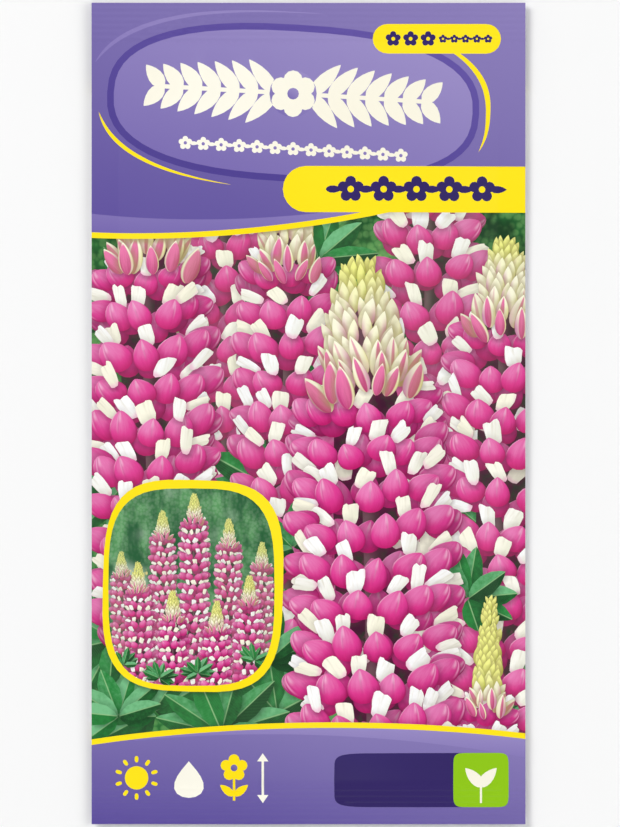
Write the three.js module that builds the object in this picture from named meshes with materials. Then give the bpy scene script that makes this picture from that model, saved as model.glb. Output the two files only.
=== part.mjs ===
// Heat-sealed paper sachet of lupin seeds, lying flat on its back.
//
// Millimetres, +Z up. The origin is the centre of the bounding box's base: X runs across the
// packet, +Y points to its top end and the printed front faces +Z.
//
// Two webs of laminated paper are sealed to each other round all four edges. Between the seals
// the front web bulges up and the back web bulges down, and its middle rests flat on the table.
// The seeds lie loose on the inside of the back web, gathered towards the bottom end.

import * as THREE from 'three';

// Driving dimensions
const packetWidth = 84.5;
const packetHeight = 160;
const webThickness = 0.15;
const sideSeal = 5;
const endSeal = 8;
const sealLevel = 1.25; // height of the plane in which the two webs meet

const upperBulge = 2.2; // rise of the front web above the seal, held up by the air inside
const seedBulge = 0.9; // what the seeds add to it
const seedBulgeReach = 34; // how far along the packet that is felt
const endFullness = 6; // the higher, the closer to the end seals the bulge keeps its height
const restingShare = 1.7; // above 1, the back web meets the table before its centre

const cellsAcross = 20;
const cellsAlong = 34;

const seedCount = 22;
const seedLength = 4.6;
const seedWidth = 3.6;
const seedDepth = 2.3;
const seedSpacing = 5.1; // between centres, so that no two seeds touch
const seedClearance = 0.05; // from the inside of the back web
const seedTaper = 0.14; // how much slimmer the narrow end is, and fuller the blunt end
const hilumDent = 0.22; // depth of the scar in the narrow end, as a share of the half length
const seedSides = 12;
const seedRings = 8;
const seedField = { x: 0, y: -38, halfWidth: 24, halfLength: 24, evenness: 0.6 };

const halfWidth = packetWidth / 2;
const halfHeight = packetHeight / 2;
const pouchHalfWidth = halfWidth - sideSeal;
const pouchHalfHeight = halfHeight - endSeal;

const paper = { roughness: 0.42, metalness: 0 };

function randomSource(seed) {
  let state = seed;
  return () => {
    state = (Math.imul(state, 1664525) + 1013904223) >>> 0;
    return state / 2 ** 32;
  };
}

// Share of the full bulge at a point: 0 on the seals, 1 in the middle, arched across the packet
// and fuller towards its ends.
function bulgeShare(x, y) {
  const across = Math.min(Math.abs(x) / pouchHalfWidth, 1);
  const along = Math.min(Math.abs(y) / pouchHalfHeight, 1);
  return (1 - across ** 2) * (1 - along ** endFullness);
}

function frontRise(x, y) {
  const nearSeeds = Math.exp(-(((y - seedField.y) / seedBulgeReach) ** 2));
  return (upperBulge + seedBulge * nearSeeds) * bulgeShare(x, y);
}

function backDrop(x, y) {
  return (sealLevel - webThickness) * Math.min(1, restingShare * bulgeShare(x, y));
}

// Grid lines from one cut edge to the other, with a line where each seal ends.
function gridLines(half, pouchHalf, cells) {
  const lines = [-half];
  for (let i = 0; i <= cells; i += 1) {
    lines.push(-pouchHalf + (2 * pouchHalf * i) / cells);
  }
  lines.push(half);
  return lines;
}

// A closed sheet between two height functions, both split into triangles alike.
function sheetGeometry(topHeight, bottomHeight) {
  const xs = gridLines(halfWidth, pouchHalfWidth, cellsAcross);
  const ys = gridLines(halfHeight, pouchHalfHeight, cellsAlong);
  const positions = [];
  const indices = [];
  const faceSize = xs.length * ys.length;

  for (const height of [topHeight, bottomHeight]) {
    for (const y of ys) {
      for (const x of xs) {
        positions.push(x, y, height(x, y));
      }
    }
  }

  const at = (column, row) => row * xs.length + column;
  for (let row = 0; row < ys.length - 1; row += 1) {
    for (let column = 0; column < xs.length - 1; column += 1) {
      const a = at(column, row);
      const b = at(column + 1, row);
      const c = at(column + 1, row + 1);
      const d = at(column, row + 1);
      // the diagonal runs outwards from the middle, so that the four quarters are alike
      const outward = (xs[column] < 0) === (ys[row] < 0);
      const corners = outward ? [a, b, c, a, c, d] : [a, b, d, b, c, d];
      indices.push(...corners);
      for (let i = 0; i < corners.length; i += 3) {
        indices.push(corners[i] + faceSize, corners[i + 2] + faceSize, corners[i + 1] + faceSize);
      }
    }
  }

  const rim = [];
  for (let column = 0; column < xs.length - 1; column += 1) rim.push(at(column, 0));
  for (let row = 0; row < ys.length - 1; row += 1) rim.push(at(xs.length - 1, row));
  for (let column = xs.length - 1; column > 0; column -= 1) rim.push(at(column, ys.length - 1));
  for (let row = ys.length - 1; row > 0; row -= 1) rim.push(at(0, row));
  rim.forEach((from, i) => {
    const to = rim[(i + 1) % rim.length];
    indices.push(from, from + faceSize, to + faceSize, from, to + faceSize, to);
  });

  const geometry = new THREE.BufferGeometry();
  geometry.setAttribute('position', new THREE.Float32BufferAttribute(positions, 3));
  geometry.setIndex(indices);
  return geometry;
}

// A lupin seed lying flat: an egg-shaped bean, narrower at the end with the hilum, whose scar is
// a shallow dent.
function seedGeometry() {
  const geometry = new THREE.SphereGeometry(1, seedSides, seedRings);
  geometry.rotateZ(-Math.PI / 2); // poles to the two ends, along X
  const position = geometry.getAttribute('position');
  for (let i = 0; i < position.count; i += 1) {
    const x = position.getX(i);
    const girth = 1 - seedTaper * x;
    const isNarrowPole = x > 1 - 1e-6;
    const dent = isNarrowPole ? hilumDent : 0;
    position.setXYZ(
      i,
      (x - dent) * (seedLength / 2),
      position.getY(i) * girth * (seedWidth / 2),
      position.getZ(i) * girth * (seedDepth / 2),
    );
  }
  geometry.computeBoundingBox();
  return geometry;
}

// Seeded places in an oval field, each far enough from the ones before it.
function seedPlaces() {
  const random = randomSource(47);
  const places = [];
  while (places.length < seedCount) {
    const angle = 2 * Math.PI * random();
    const reach = random() ** seedField.evenness;
    const x = seedField.x + seedField.halfWidth * reach * Math.cos(angle);
    const y = seedField.y + seedField.halfLength * reach * Math.sin(angle);
    const turn = 2 * Math.PI * random();
    if (places.every((place) => Math.hypot(place.x - x, place.y - y) > seedSpacing)) {
      places.push({ x, y, turn });
    }
  }
  return places;
}

function webMesh(name, color, topHeight, bottomHeight) {
  const material = new THREE.MeshStandardMaterial({ color, ...paper });
  const mesh = new THREE.Mesh(sheetGeometry(topHeight, bottomHeight), material);
  mesh.name = name;
  return mesh;
}

const packet = new THREE.Group();

packet.add(
  webMesh(
    'front_web',
    0xc75a9c,
    (x, y) => sealLevel + webThickness + frontRise(x, y),
    (x, y) => sealLevel + frontRise(x, y),
  ),
);
packet.add(
  webMesh(
    'back_web',
    0xe9e6ee,
    (x, y) => sealLevel - backDrop(x, y),
    (x, y) => sealLevel - webThickness - backDrop(x, y),
  ),
);

const seeds = seedGeometry();
seedPlaces().forEach((place, i) => {
  const material = new THREE.MeshStandardMaterial({ color: 0x7a5a3c, roughness: 0.45, metalness: 0 });
  const seed = new THREE.Mesh(seeds, material);
  seed.name = `seed_${String(i + 1).padStart(2, '0')}`;
  seed.position.set(place.x, place.y, webThickness + seedClearance - seeds.boundingBox.min.z);
  seed.rotation.z = place.turn;
  packet.add(seed);
});

export default packet;
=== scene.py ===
import math
import random
from types import SimpleNamespace

import bmesh
import bpy
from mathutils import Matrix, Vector, noise
from mathutils.bvhtree import BVHTree
from mathutils.geometry import delaunay_2d_cdt
from mathutils.kdtree import KDTree


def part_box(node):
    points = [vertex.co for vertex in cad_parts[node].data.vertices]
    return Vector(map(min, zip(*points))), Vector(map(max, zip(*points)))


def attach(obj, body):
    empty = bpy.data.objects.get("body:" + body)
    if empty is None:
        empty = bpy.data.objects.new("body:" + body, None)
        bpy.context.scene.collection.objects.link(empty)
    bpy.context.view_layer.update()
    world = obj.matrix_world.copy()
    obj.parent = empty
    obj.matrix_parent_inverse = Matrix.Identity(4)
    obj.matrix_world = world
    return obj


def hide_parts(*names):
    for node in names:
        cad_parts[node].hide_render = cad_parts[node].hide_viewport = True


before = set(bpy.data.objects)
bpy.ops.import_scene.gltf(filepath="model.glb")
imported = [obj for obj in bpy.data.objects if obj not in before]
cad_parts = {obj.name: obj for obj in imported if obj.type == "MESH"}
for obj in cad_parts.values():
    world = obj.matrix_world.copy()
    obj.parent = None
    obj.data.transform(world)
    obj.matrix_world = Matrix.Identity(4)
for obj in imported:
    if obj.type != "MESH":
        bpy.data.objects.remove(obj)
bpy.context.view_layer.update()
mm = 0.001  # everything below is worked out in millimetres and made in metres

# The packet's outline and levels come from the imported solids.
frontLow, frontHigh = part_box("front_web")
halfWidth, halfHeight = frontHigh.x / mm, frontHigh.y / mm
packet = {
    "sealLevel": frontLow.z / mm,
    "sideSeal": 5.0,
    "endSeal": 8.0,
    "webThickness": 0.15,
    "upperBulge": 2.2,
    "seedBulge": 0.9,
    "seedBulgeReach": 34.0,
    "seedsAt": -38.0,
    "endFullness": 6,
    "restingShare": 1.7,
}
seedNames = sorted(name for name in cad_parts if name.startswith("seed_"))
seedSpots = [(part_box(name)[0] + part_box(name)[1]) / 2 / mm for name in seedNames]


def colour(code):
    channels = [int(code[i:i + 2], 16) / 255 for i in (1, 3, 5)]
    linear = [c / 12.92 if c <= 0.04045 else ((c + 0.055) / 1.055) ** 2.4 for c in channels]
    return (*linear, 1.0)


def inSums(operation, isReflected=False):
    # an operator of the class below
    def result(first, second):
        values = (second, first) if isReflected else (first, second)
        return first.sum(operation, *values)
    return result


class Number:
    # a shader value that can be used in ordinary sums

    def __init__(self, finish, socket):
        self.finish = finish
        self.socket = socket

    def sum(self, operation, *values, clamp=False):
        settings = {"operation": operation, "use_clamp": clamp}
        return Number(self.finish, self.finish.node("ShaderNodeMath", settings, values))

    __add__ = __radd__ = inSums("ADD")
    __mul__ = __rmul__ = inSums("MULTIPLY")
    __sub__, __rsub__ = inSums("SUBTRACT"), inSums("SUBTRACT", isReflected=True)
    __truediv__, __rtruediv__ = inSums("DIVIDE"), inSums("DIVIDE", isReflected=True)
    __pow__, __rpow__ = inSums("POWER"), inSums("POWER", isReflected=True)

    def root(self):
        return self.sum("SQRT", self)

    def line(self, sharpness):
        # 1 where the value is 0, and down to 0 on both sides
        return (1 - self.size() * sharpness).clamped()

    def size(self):
        return self.sum("ABSOLUTE", self)

    def atLeast(self, other):
        return self.sum("MAXIMUM", self, other)

    def clamped(self):
        return self.sum("ADD", self, 0.0, clamp=True)

    def between(self, low, high):
        # 0 at low and 1 at high, with soft ends
        settings = {"interpolation_type": "SMOOTHSTEP"}
        inputs = {"Value": self, "From Min": low, "From Max": high}
        return Number(self.finish, self.finish.node("ShaderNodeMapRange", settings, inputs))


class Finish:
    # the node tree of one material, or of the world, and short ways to add to it

    def __init__(self, owner, shader, **values):
        owner.use_nodes = True
        self.owner = owner
        self.tree = owner.node_tree
        self.shader = self.tree.nodes[shader]
        for socket, value in values.items():
            self.shader.inputs[socket.replace("_", " ")].default_value = value

    def node(self, kind, settings, inputs, output=0):
        made = self.tree.nodes.new(kind)
        for name, value in settings.items():
            setattr(made, name, value)
        named = inputs.items() if isinstance(inputs, dict) else enumerate(inputs)
        for name, value in named:
            value = value.socket if isinstance(value, Number) else value
            if isinstance(value, bpy.types.NodeSocket):
                self.tree.links.new(value, made.inputs[name])
            else:
                made.inputs[name].default_value = value
        return made.outputs[output]

    def mix(self, factor, first, second):
        first, second = (colour(c) if isinstance(c, str) else c for c in (first, second))
        inputs = {0: factor, 6: first, 7: second}
        return self.node("ShaderNodeMix", {"data_type": "RGBA"}, inputs, 2)

    def coats(self, body, *layers):
        # colours laid over each other, each with where it shows and, in a pair, how strongly
        for factor, tone in layers:
            if isinstance(tone, tuple):
                tone, strength = tone
                factor = factor * strength
            body = self.mix(factor, body, tone)
        return body

    def parts(self, vector):
        first = self.node("ShaderNodeSeparateXYZ", {}, [vector])
        return [Number(self, output) for output in first.node.outputs]

    def attribute(self, name):
        return self.parts(self.node("ShaderNodeAttribute", {"attribute_name": name}, [], 1))

    def place(self):
        return self.node("ShaderNodeTexCoord", {}, [], 3)

    def join(self, *values):
        return self.node("ShaderNodeCombineXYZ", {}, values)

    def noise(self, scale, detail=2.0, rough=0.5, at=None):
        # over the whole piece, or along a place of its own
        at = self.place() if at is None else at
        inputs = {"Vector": at, "Scale": scale, "Detail": detail, "Roughness": rough}
        return Number(self, self.node("ShaderNodeTexNoise", {}, inputs))

    def paint(self, result, socket="Base Color"):
        self.tree.links.new(result, self.shader.inputs[socket])
        return self.owner

    def bump(self, height, strength, distance):
        inputs = {"Height": height, "Strength": strength, "Distance": distance}
        self.paint(self.node("ShaderNodeBump", {}, inputs), "Normal")


def placed(name, data, location=(0, 0, 0)):
    made = bpy.data.objects.new(name, data)
    made.location = location
    bpy.context.scene.collection.objects.link(made)
    return made


def newFinish(name, **values):
    return Finish(bpy.data.materials.new(name), "Principled BSDF", **values)


# How the paper stands off the smooth pouch: sealed ribs, creases, waves and the seeds under it.
relief = {
    "ribPitch": 1.15,
    "ribHeight": 0.045,
    "ribFade": (0.8, 0.6),  # at the pouch and at the cut edge
    "puckers": 7,
    "puckerHeight": 0.2,
    "puckerReach": 17.0,
    "puckerRise": 4.0,
    "puckerWidth": (0.9, 2.2),
    "puckerWidens": 14.0,
    "puckerSlant": 0.16,
    "puckerMargin": 9.0,
    "puckerSpread": (0.2, 0.8),
    "puckerDepth": (-0.6, 1),
    "cockle": 0.1,
    "cockleSpan": (15.0, 21.0),
    "edgeWave": 0.22,
    "edgeWaveSpan": 26.0,
    "edgeWaveShare": 1.6,
    "cornerShare": 1.5,
    "cornerPowers": (5, 7),
    "seedBump": 0.24,
    "seedBumpReach": 2.7,
    "seedSag": 0.14,
}


def drawPuckers():
    # short creases that run in from each end seal, where the arched paper is pressed flat
    dice = random.Random(5)
    puckers = []
    for end in (-1, 1):
        for i in range(relief["puckers"]):
            share = (i + dice.uniform(*relief["puckerSpread"])) / relief["puckers"] * 2 - 1
            across = share * (halfWidth - relief["puckerMargin"])
            height = relief["puckerHeight"] * dice.uniform(*relief["puckerDepth"])
            width = dice.uniform(*relief["puckerWidth"])
            slant = relief["puckerSlant"] * dice.uniform(-1, 1)
            puckers.append((end, across, height, width, slant))
    return puckers


puckers = drawPuckers()


def pouchReach(x, y):
    across = min(abs(x) / (halfWidth - packet["sideSeal"]), 1)
    along = min(abs(y) / (halfHeight - packet["endSeal"]), 1)
    return (1 - across ** 2) * (1 - along ** packet["endFullness"])


def sharedLift(x, y):
    # how the sealed border waves up and down, both webs together
    border = 1 - min(1, pouchReach(x, y) * 2.5)
    span, powers = relief["edgeWaveSpan"], relief["cornerPowers"]
    wave = noise.noise(Vector((x / span, y / span, 4.2)))
    corner = (abs(x) / halfWidth) ** powers[0] * (abs(y) / halfHeight) ** powers[1]
    waved = wave * relief["edgeWaveShare"] + corner * relief["cornerShare"]
    return relief["edgeWave"] * border * waved


def frontHeight(x, y):
    reach = pouchReach(x, y)
    nearSeeds = math.exp(-(((y - packet["seedsAt"]) / packet["seedBulgeReach"]) ** 2))
    rise = (packet["upperBulge"] + packet["seedBulge"] * nearSeeds) * reach
    inward = halfHeight - packet["endSeal"] - abs(y)
    if inward < 0:
        inner, outer = relief["ribFade"]
        ribbed = min(1, -inward / inner) * min(1, (halfHeight - abs(y)) / outer)
        rise += relief["ribHeight"] * ribbed * math.cos(2 * math.pi * inward / relief["ribPitch"])
    elif abs(x) < halfWidth - packet["sideSeal"]:
        fade = min(1, inward / relief["puckerRise"]) * math.exp(-inward / relief["puckerReach"])
        for end, across, height, width, slant in puckers:
            if end * y > 0 and fade > 0.02:
                widened = width * (1 + inward / relief["puckerWidens"])
                off = (x - across - slant * inward) / widened
                rise += height * fade * math.exp(-off * off)
        wide, tall = relief["cockleSpan"]
        wave = noise.noise(Vector((x / wide, y / tall, 0)))
        rise += relief["cockle"] * min(1, reach * 3) * wave
        pressed = 0.0
        for spot in seedSpots:
            far = ((x - spot.x) ** 2 + (y - spot.y) ** 2) / relief["seedBumpReach"] ** 2
            if far < 5:
                pressed = max(pressed, math.exp(-far))
        rise += (relief["seedBump"] * pressed - relief["seedSag"] * nearSeeds) * min(1, reach * 2)
    return packet["sealLevel"] + packet["webThickness"] + sharedLift(x, y) + rise


def backHeight(x, y):
    level = packet["sealLevel"] - packet["webThickness"]
    sunk = level * min(1, packet["restingShare"] * pouchReach(x, y))
    return max(0.0, level - sunk + sharedLift(x, y))


def slopeOf(height, x, y, step=0.15):
    along = height(x + step, y) - height(x - step, y)
    up = height(x, y + step) - height(x, y - step)
    return Vector((-along, -up, 2 * step)).normalized()


# the light on the printed flowers, and how deep and wide they shade each other
printLight = {"way": (-0.42, 0.78), "contact": 0.66, "reach": 0.8, "allRound": 0.45}
petalInks = ("hollow", "stem", "leaf", "wing", "banner", "bud")


class Print:
    # shapes laid on one flat side of the packet, the later ones on top

    def __init__(self, ink):
        self.shapes = []
        self.window = None
        self.field(ink, halfHeight, -halfHeight, count=1)

    def field(self, ink, top, bottom, left=-halfWidth, right=halfWidth, count=40):
        # all that lies between two heights, each a number or a function of x
        xs = [left + (right - left) * i / count for i in range(count + 1)]
        low, high = ([edge(x) if callable(edge) else edge for x in xs] for edge in (bottom, top))
        centre = ((left + right) / 2, (min(low) + max(high)) / 2)
        size = ((right - left) / 2, (max(high) - min(low)) / 2)
        outline = list(zip(xs, low)) + list(zip(xs, high))[::-1]
        outline = [((x - centre[0]) / size[0], (y - centre[1]) / size[1]) for x, y in outline]
        self.lay(ink, outline, centre, 0.0, size)

    def lay(self, ink, outline, centre=(0, 0), turn=0.0, size=(1, 1), seam=0.0, shade=1.0,
            tint=0.5, roll=0.0, haze=0.0):
        # the outline is in the shape's own frame: u across it and v along it
        across, along = axes(turn)
        centre = Vector(centre)
        points = [centre + across * (u * size[0]) + along * (v * size[1]) for u, v in outline]
        if self.shapes and all(abs(p.x) > halfWidth or abs(p.y) > halfHeight for p in points):
            return None
        if sum(a.x * b.y - b.x * a.y for a, b in zip(points, points[1:] + points[:1])) < 0:
            points.reverse()
        light = Vector(printLight["way"])
        middle = sum(points, Vector((0, 0))) / len(points)
        self.shapes.append({
            "middle": middle, "radius": max((p - middle).length for p in points),
            "ink": ink, "points": points, "window": self.window,
            "frame": (centre, across / size[0], along / size[1]),
            "light": (light.dot(across), light.dot(along), shade),
            "tone": (tint, roll, haze), "seam": seam, "reach": min(size) * 0.5,
        })
        return len(self.shapes) - 1


def axes(turn):
    # a shape's own two directions, across and along, when it is turned clockwise
    return Vector((math.cos(turn), -math.sin(turn))), Vector((math.sin(turn), math.cos(turn)))


def swelling(steps, foot, tip, wide=1.0, lean=0.0):
    # two sides that swell from the foot at v = -1 and close at the tip at v = 1; a low power
    # makes an end blunt
    stops = [-math.cos(math.pi * i / steps) for i in range(1, steps)]
    right, left = [], []
    for v in stops:
        middle, half = lean * ((v + 1) / 2) ** 2, wide * (1 + v) ** foot * (1 - v) ** tip
        right.append((middle + half, v))
        left.append((middle - half, v))
    return [(0, -1)] + right + [(lean, 1)] + left[::-1]


almond = {"foot": 0.6, "tip": 0.9, "wide": 0.95}
leaflet = {"foot": 0.75, "tip": 0.85}
waterDrop = {"foot": 0.5, "tip": 1.1, "wide": 0.72}

# Every size of a spike and of its florets is a share of the spike's width.
wing = {
    "blunt": 0.5, "point": 0.58, "upright": 0.24, "lean": 0.66, "length": 0.122,
    "front": 0.106, "side": 0.118, "turn": 0.34, "sway": 0.3, "uneven": 0.3,
    "longer": (0.88, 1.1), "wider": (0.9, 1.1),
}
banner = {
    "front": (0.066, 0.09), "side": (0.045, 0.1), "above": 0.15, "near": 0.135,
    "lift": (0.7, 0.3), "turn": 0.7, "sway": 0.5, "leanOut": 0.035, "jitter": 0.02,
    "missing": 0.17, "slant": 0.34, "tilt": 0.24, "rough": 0.06, "larger": (0.85, 1.12),
    "shaded": 0.6, "dent": ((-0.3, 0.3), (0.76, 1.03)),
    "corner": [(0.97, 0.7), (0.83, 0.91), (0.45, 0.97)],
    "right": [(0.3, -0.98), (0.68, -0.8), (0.88, -0.35), (0.97, 0.2)],
}
bud = {
    "zone": 0.62, "size": (0.056, 0.068, 0.008), "step": (0.038, 0.046, 0.034),
    "first": 0.03, "last": 0.02, "swell": 0.8, "opensFrom": 0.85, "blushFrom": 0.75,
    "ripens": (0.95, 0.35), "pinks": (0.26, 0.12, 0.62), "slim": 0.44, "perTurn": 11,
    "fewer": 4, "fewerUntil": 0.3, "turn": (0.18, 0.3), "sway": 0.3, "twist": 8,
    "scatter": 0.028, "sideways": 0.6, "uneven": 0.24, "larger": (0.84, 1.16),
    "wider": (0.85, 1.15), "rooted": 0.82, "shaded": 0.8,
}
spike = {
    "radius": (0.06, 0.29, 0.44, 0.5),  # at the tip, under the buds, where all are open, full
    "taper": 0.75, "fullAfter": 0.6, "grownAfter": 0.5, "open": 0.26, "whorl": 0.29,
    "further": (0.93, 1.07), "firstUp": 0.03, "beyond": 0.2, "perTurn": 11, "twist": 6,
    "strayTurn": 5, "rooted": 0.085, "stem": 0.05, "hollow": 0.45, "sag": 0.07,
    "scatter": 0.035, "topSize": 0.86, "tilt": 0.1,
    "light": (0.78, 0.22, 0.05),  # at the sides, more in front, less to the right
}
deep = {  # the florets further in
    "perTurn": 15, "twist": 23, "firstTwist": 9, "sides": 80, "white": 0.08,
    "down": (0.2, 0.7), "reach": 0.38, "turn": 0.4, "sway": 0.5, "shade": (0.5, 0.78),
}


def wingOutline(seam, steps):
    # seen from the front a drop, and turned to one side more like a mussel
    point = wing["point"] + wing["upright"] * (1 - abs(seam))
    return swelling(steps, wing["blunt"], point, lean=wing["lean"] * seam)


def mirrored(points):
    return [(-u, v) for u, v in reversed(points)]


def bannerOutline(dice, isFine):
    # a lopsided oblong with soft corners, a hardly dented top and a narrower foot
    dent = tuple(dice.uniform(*ends) for ends in banner["dent"])
    corner, right = banner["corner"], banner["right"]
    top, left = corner + [dent] + mirrored(corner), mirrored(right)
    if not isFine:
        top, left, right = top[::3], left[1:3], right[1:3]
    slant, tilt = (dice.uniform(-1, 1) * banner[way] for way in ("slant", "tilt"))
    rough = banner["rough"]
    return [
        (u + slant * v + dice.uniform(-rough, rough), v + tilt * u + dice.uniform(-rough, rough))
        for u, v in right + top + left
    ]


def ease(value, low, high):
    share = min(1, max(0, (value - low) / (high - low)))
    return share * share * (3 - 2 * share)


class Spike:
    # One flower spike, from its hollow and stem outwards. Young ones have longer tips, near is
    # the share of banners before their own wings, and grain is how coarse the florets are.

    def __init__(self, sheet, tip, foot, width, seed, haze=0.0, bend=0.0, steps=9, tone=0.0,
                 young=1.0, near=0.28, grain=1.0):
        self.sheet, self.width, self.haze, self.bend = sheet, width, haze, bend
        self.steps, self.tone, self.young, self.near = steps, tone, young, near
        self.whorl, self.grain, self.isFine = spike["whorl"] * grain, grain, steps > 5
        self.perTurn = round(spike["perTurn"] / grain)
        self.dice = random.Random(seed)
        self.tip = Vector(tip)
        axis = self.tip - Vector(foot)
        self.long = axis.length / width
        self.up = axis.normalized()
        self.side = Vector((self.up.y, -self.up.x))
        self.budEnd = bud["zone"] * young
        self.openEnd = self.budEnd + spike["open"]
        self.paintHollow()
        self.paintWhorls()
        self.paintBuds()

    def at(self, down, across):
        curve = self.bend * math.sin(math.pi * min(1, down / self.long))
        return self.tip + (self.side * (across + curve) - self.up * down) * self.width

    def radius(self, down):
        tip, budded, opened, full = spike["radius"]
        if down < self.budEnd:
            return tip + (budded - tip) * (max(0, down) / self.budEnd) ** spike["taper"]
        if down < self.openEnd:
            return budded + (opened - budded) * ease(down, self.budEnd, self.openEnd)
        fullEnd = self.openEnd + spike["fullAfter"]
        return opened + (full - opened) * ease(down, self.openEnd, fullEnd)

    def stray(self, reach):
        return self.dice.uniform(-1, 1) * reach

    def around(self, count, offset, reach=100):
        # turns round the stem, those at the sides first and those in front last
        stray = spike["strayTurn"]
        turns = [offset + 360 / count * k + self.stray(stray) for k in range(count)]
        turns = [(turn + 180) % 360 - 180 for turn in turns]
        return [math.radians(t) for t in sorted(turns, key=lambda t: -abs(t)) if abs(t) < reach]

    def lit(self, phi, shaded=1.0):
        sides, front, right = spike["light"]
        light = sides + front * max(0, math.cos(phi)) ** 0.7 - right * math.sin(phi)
        return 1 - shaded + shaded * light

    def lay(self, ink, outline, down, across, turn, size, seam=0.0, shade=1.0, tint=0.5):
        turn += math.atan2(self.up.x, self.up.y)
        size = [share * self.width for share in size]
        tint, roll = min(1, max(0, tint)), self.dice.random()
        place = self.at(down, across)
        self.sheet.lay(ink, outline, place, turn, size, seam, shade, tint, roll, self.haze)

    def paintHollow(self):
        top, half, count = self.budEnd / 2, self.long / 2, 10
        stops = [top + (self.long - top) * i / count for i in range(count + 1)]
        middle, wide = self.at(half, 0), spike["stem"]
        reaches = {
            "hollow": [spike["hollow"] * self.radius(down) for down in stops],
            "stem": [wide] * len(stops),
        }
        for ink, run in reaches.items():
            right = list(zip(run, stops))
            offs = [(self.at(down, across) - middle) / self.width
                    for across, down in right + mirrored(right)]
            outline = [(off.dot(self.side) / wide, off.dot(self.up) / half) for off in offs]
            self.lay(ink, outline, half, 0, 0, (wide, half), tint=self.dice.random())

    def paintWhorls(self):
        # what lies deep first, then each whorl before the one above it, its sides first
        dice = self.dice
        tilt = self.stray(spike["tilt"])
        downs = [self.openEnd - spike["firstUp"]]
        while downs[-1] < self.long + spike["beyond"]:
            downs.append(downs[-1] + self.whorl * dice.uniform(*spike["further"]))
        for number, down in enumerate(downs):
            self.paintDeep(down, number)
        for number, down in enumerate(downs):
            grown = ease(down, self.openEnd, self.openEnd + spike["grownAfter"])
            growth = (spike["topSize"] + (1 - spike["topSize"]) * grown) * self.grain
            florets = []
            twist = number * 180 / self.perTurn + self.stray(spike["twist"])
            for phi in self.around(self.perTurn, twist):
                across = (self.radius(down) - spike["rooted"]) * math.sin(phi)
                across += self.stray(spike["scatter"] / 2)
                sunk = spike["sag"] * max(0, math.cos(phi)) + tilt * across
                sunk += self.stray(spike["scatter"])
                florets.append((down + sunk, across, phi, growth, dice.random() < self.near))
            for floret in florets:
                if not floret[-1]:
                    self.paintBanner(*floret)
            for floret in florets:
                self.paintWing(*floret[:-1])
                if floret[-1]:
                    self.paintBanner(*floret)

    def paintWing(self, down, across, phi, growth):
        dice, seam = self.dice, math.sin(phi)
        long = wing["length"] * growth * dice.uniform(*wing["longer"])
        wide = (wing["front"] + (wing["side"] - wing["front"]) * abs(seam)) * growth
        wide *= dice.uniform(*wing["wider"])
        self.lay(
            "wing", wingOutline(seam, self.steps), down, across,
            phi * wing["turn"] + self.stray(wing["sway"]), (wide, long), seam, self.lit(phi),
            0.5 + self.tone + self.stray(wing["uneven"]),
        )

    def paintBanner(self, down, across, phi, growth, isNear):
        dice, seam = self.dice, math.sin(phi)
        size = [
            (front + (side - front) * seam ** 2) * growth * dice.uniform(*banner["larger"])
            for front, side in zip(banner["front"], banner["side"])
        ]
        turn = phi * banner["turn"] + self.stray(banner["sway"])
        if dice.random() < banner["missing"]:
            return
        across += math.sin(turn) * (size[1] - banner["front"][1] * self.grain)
        across += self.stray(banner["leanOut"])
        least, more = banner["lift"]
        above = banner["near" if isNear else "above"] * growth * (least + more * math.cos(turn))
        above += self.stray(banner["jitter"])
        self.lay(
            "banner", bannerOutline(dice, self.isFine), down - above, across,
            turn, size, seam, self.lit(phi, banner["shaded"]), dice.random(),
        )

    def paintDeep(self, down, number):
        # florets further in, which fill the gaps in shade
        dice, count = self.dice, round(deep["perTurn"] / self.grain)
        for phi in self.around(count, number * deep["twist"] + deep["firstTwist"], deep["sides"]):
            seam = math.sin(phi)
            ink, size = "wing", (wing["front"], wing["length"])
            outline = wingOutline(seam, self.steps)
            if dice.random() < deep["white"]:
                ink, size = "banner", banner["front"]
                outline = bannerOutline(dice, self.isFine)
            self.lay(
                ink, outline, down + self.whorl * dice.uniform(*deep["down"]),
                deep["reach"] * seam, phi * deep["turn"] + self.stray(deep["sway"]),
                [share * self.grain for share in size], seam,
                dice.uniform(*deep["shade"]), dice.random(),
            )

    def paintBuds(self):
        # each row stands before the one above it, like scales
        dice = self.dice
        unripe, ripened = (self.young - early for early in bud["ripens"])
        upright, leaning = bud["turn"]
        down, row, grain = bud["first"], 0, math.sqrt(self.grain)
        while down < self.openEnd - bud["last"]:
            grown = min(1, down / self.budEnd)
            opening = ease(down, self.budEnd * bud["opensFrom"], self.openEnd)
            small, gain, last = bud["size"]
            size = (small + gain * grown ** bud["swell"] + last * opening) * grain
            stages = (ease(grown, unripe, ripened), ease(grown, bud["blushFrom"], 1), opening)
            pink = sum(share * stage for share, stage in zip(bud["pinks"], stages))
            uneven = bud["uneven"] * max(grown - 0.5, opening)
            fewer = bud["fewer"] if grown < bud["fewerUntil"] else 0
            count = round((bud["perTurn"] - fewer) / grain)
            scatter = bud["scatter"] * (0.5 + 0.5 * grown + opening)
            rooted = self.radius(down) * bud["rooted"]
            for phi in self.around(count, row * 180 / count + self.stray(bud["twist"]), 90):
                seam = math.sin(phi)
                scale = size * dice.uniform(*bud["larger"])
                self.lay(
                    "bud", swelling(self.steps, **almond), down + self.stray(scatter),
                    rooted * seam + self.stray(scatter * bud["sideways"]),
                    phi * (upright + leaning * pink) + self.stray(bud["sway"]),
                    (scale * bud["slim"] * dice.uniform(*bud["wider"]), scale), seam,
                    self.lit(phi, bud["shaded"]), pink + self.stray(uneven),
                )
            first, more, wide = bud["step"]
            down += (first + more * grown + wide * opening) * grain
            row += 1


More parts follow.
